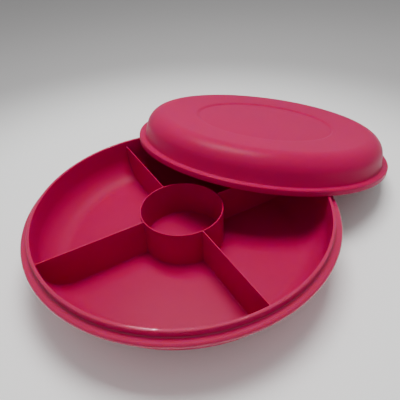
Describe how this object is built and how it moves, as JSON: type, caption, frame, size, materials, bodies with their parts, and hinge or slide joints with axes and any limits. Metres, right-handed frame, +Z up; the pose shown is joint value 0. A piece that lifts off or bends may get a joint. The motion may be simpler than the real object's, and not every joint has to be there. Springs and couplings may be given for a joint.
{
  "type": "chip and dip server",
  "caption": "Round moulded plastic serving tray with divided compartments round a central dip cup, and a domed lid leaning on its rim.",
  "frame": {"origin": "on the table, under the centre of the round tray", "axes": "+Z up along the tray's own axis, -Y towards the front compartment, so the dividers run at 45 degrees to X and Y"},
  "size_m": [0.3683, 0.4763, 0.1029],
  "materials": {
    "tray_plastic": "bright pink moulded plastic, satin",
    "lid_plastic": "bright pink moulded plastic, fine matt surface"
  },
  "bodies": {
    "tray": {"tray_floor": "tray_plastic", "bowl_bend_lower": "tray_plastic", "bowl_bend_upper": "tray_plastic", "bowl_side_and_rim": "tray_plastic", "foot_ring": "tray_plastic", "dip_cup_wall": "tray_plastic", "divider_back_right": "tray_plastic", "divider_back_left": "tray_plastic", "divider_front_left": "tray_plastic", "divider_front_right": "tray_plastic"},
    "lid": {"lid_panel": "lid_plastic", "lid_crown": "lid_plastic", "lid_shoulder": "lid_plastic", "lid_flange": "lid_plastic"}
  },
  "joints": [
    {"name": "lid_lift", "type": "slide", "parent": "tray", "child": "lid", "axis": [0, 0, 1], "range_m": [0, 0.12]}
  ]
}
